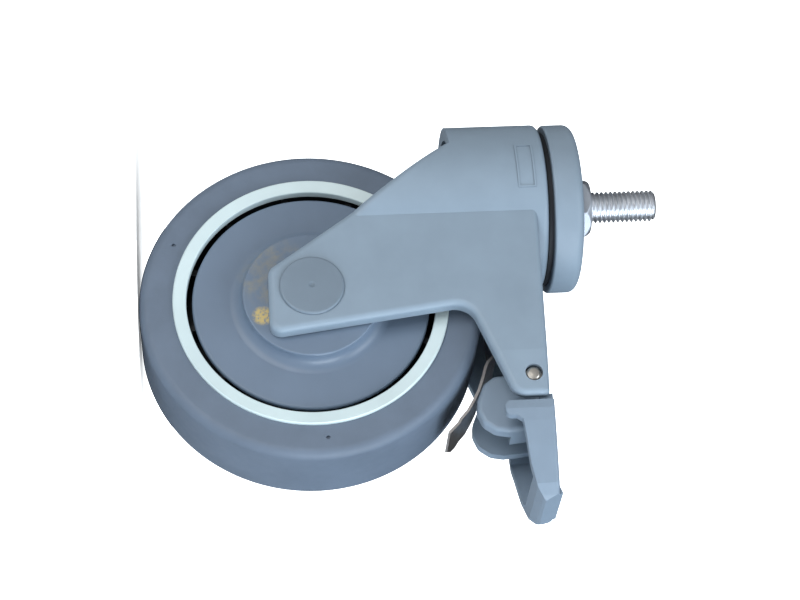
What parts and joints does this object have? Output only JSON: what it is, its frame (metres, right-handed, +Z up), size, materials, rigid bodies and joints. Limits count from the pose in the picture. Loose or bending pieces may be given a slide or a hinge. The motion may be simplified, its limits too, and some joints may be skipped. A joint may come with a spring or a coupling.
{
  "type": "swivel caster with total-lock pedal",
  "caption": "Swivelling caster with threaded stem, moulded fork, cushioned wheel and a foot pedal that locks both wheel and swivel.",
  "frame": {"origin": "on the stem axis in the seating plane, the top face of the hexagon", "axes": "+Z up the stem, wheel axle along Y, wheel trails towards +X, pedal at +X, the side seen in the picture is -Y"},
  "size_m": [0.1581, 0.0644, 0.1975],
  "materials": {
    "grey_housing": "fine satin moulded grey",
    "cap_grey": "fine satin moulded grey",
    "pedal_grey": "satin moulded grey",
    "tyre_grey": "smooth grey non-marking tread",
    "core_black": "dark moulded core",
    "ring_white": "clean off-white moulding",
    "guard_grey": "glossy grey cover",
    "axle_grey": "satin grey cap",
    "zinc_steel": "bright zinc plate",
    "bearing_steel": "ground bearing steel",
    "ball_steel": "polished balls",
    "spring_steel": "rolled spring steel",
    "pin_steel": "drawn steel pin",
    "seal_black": "dark sealing ring"
  },
  "bodies": {
    "mounting": {"threaded_stem": "zinc_steel", "stem_nut": "zinc_steel", "swivel_cap": "cap_grey", "cap_race": "bearing_steel", "dust_seal": "seal_black", "swivel_balls_upper": "ball_steel", "swivel_balls_lower": "ball_steel", "lock_ring": "bearing_steel", "kingpin_nut": "zinc_steel"},
    "fork_frame": {"fork": "grey_housing", "fork_race_upper": "bearing_steel", "fork_race_lower": "bearing_steel", "axle_tube": "pin_steel", "axle_plug_left": "axle_grey", "axle_plug_right": "axle_grey", "hub_spacer": "pin_steel", "inner_race_left": "bearing_steel", "inner_race_right": "bearing_steel", "thread_guard_left": "guard_grey", "thread_guard_right": "guard_grey", "pedal_pin": "pin_steel", "leaf_pin": "pin_steel"},
    "wheel": {"tyre": "tyre_grey", "wheel_core": "core_black", "rim_ring_left": "ring_white", "rim_ring_right": "ring_white", "outer_race_left": "bearing_steel", "outer_race_right": "bearing_steel", "wheel_balls_left": "ball_steel", "wheel_balls_right": "ball_steel"},
    "pedal": {"brake_pedal": "pedal_grey"},
    "leaf": {"brake_leaf": "spring_steel", "lock_tooth": "bearing_steel", "tooth_rivets": "pin_steel"}
  },
  "joints": [
    {"name": "swivel", "type": "hinge", "parent": "mounting", "child": "fork_frame", "pos_m": [0, 0, -0.0198], "axis": [0, 0, 1], "continuous": true},
    {"name": "wheel_spin", "type": "hinge", "parent": "fork_frame", "child": "wheel", "pos_m": [0.0445, 0, -0.10945], "axis": [0, 1, 0], "continuous": true},
    {"name": "pedal_press", "type": "hinge", "parent": "fork_frame", "child": "pedal", "pos_m": [0.0823, 0, -0.0325], "axis": [0, 1, 0], "range_deg": [0, 36]},
    {"name": "leaf_press", "type": "hinge", "parent": "fork_frame", "child": "leaf", "pos_m": [0.0325, 0, -0.0405], "axis": [0, 1, 0], "range_deg": [0, 6]}
  ],
  "couplings": [
    {"joint": "leaf_press", "follows": "pedal_press", "ratio": 0.16666}
  ]
}
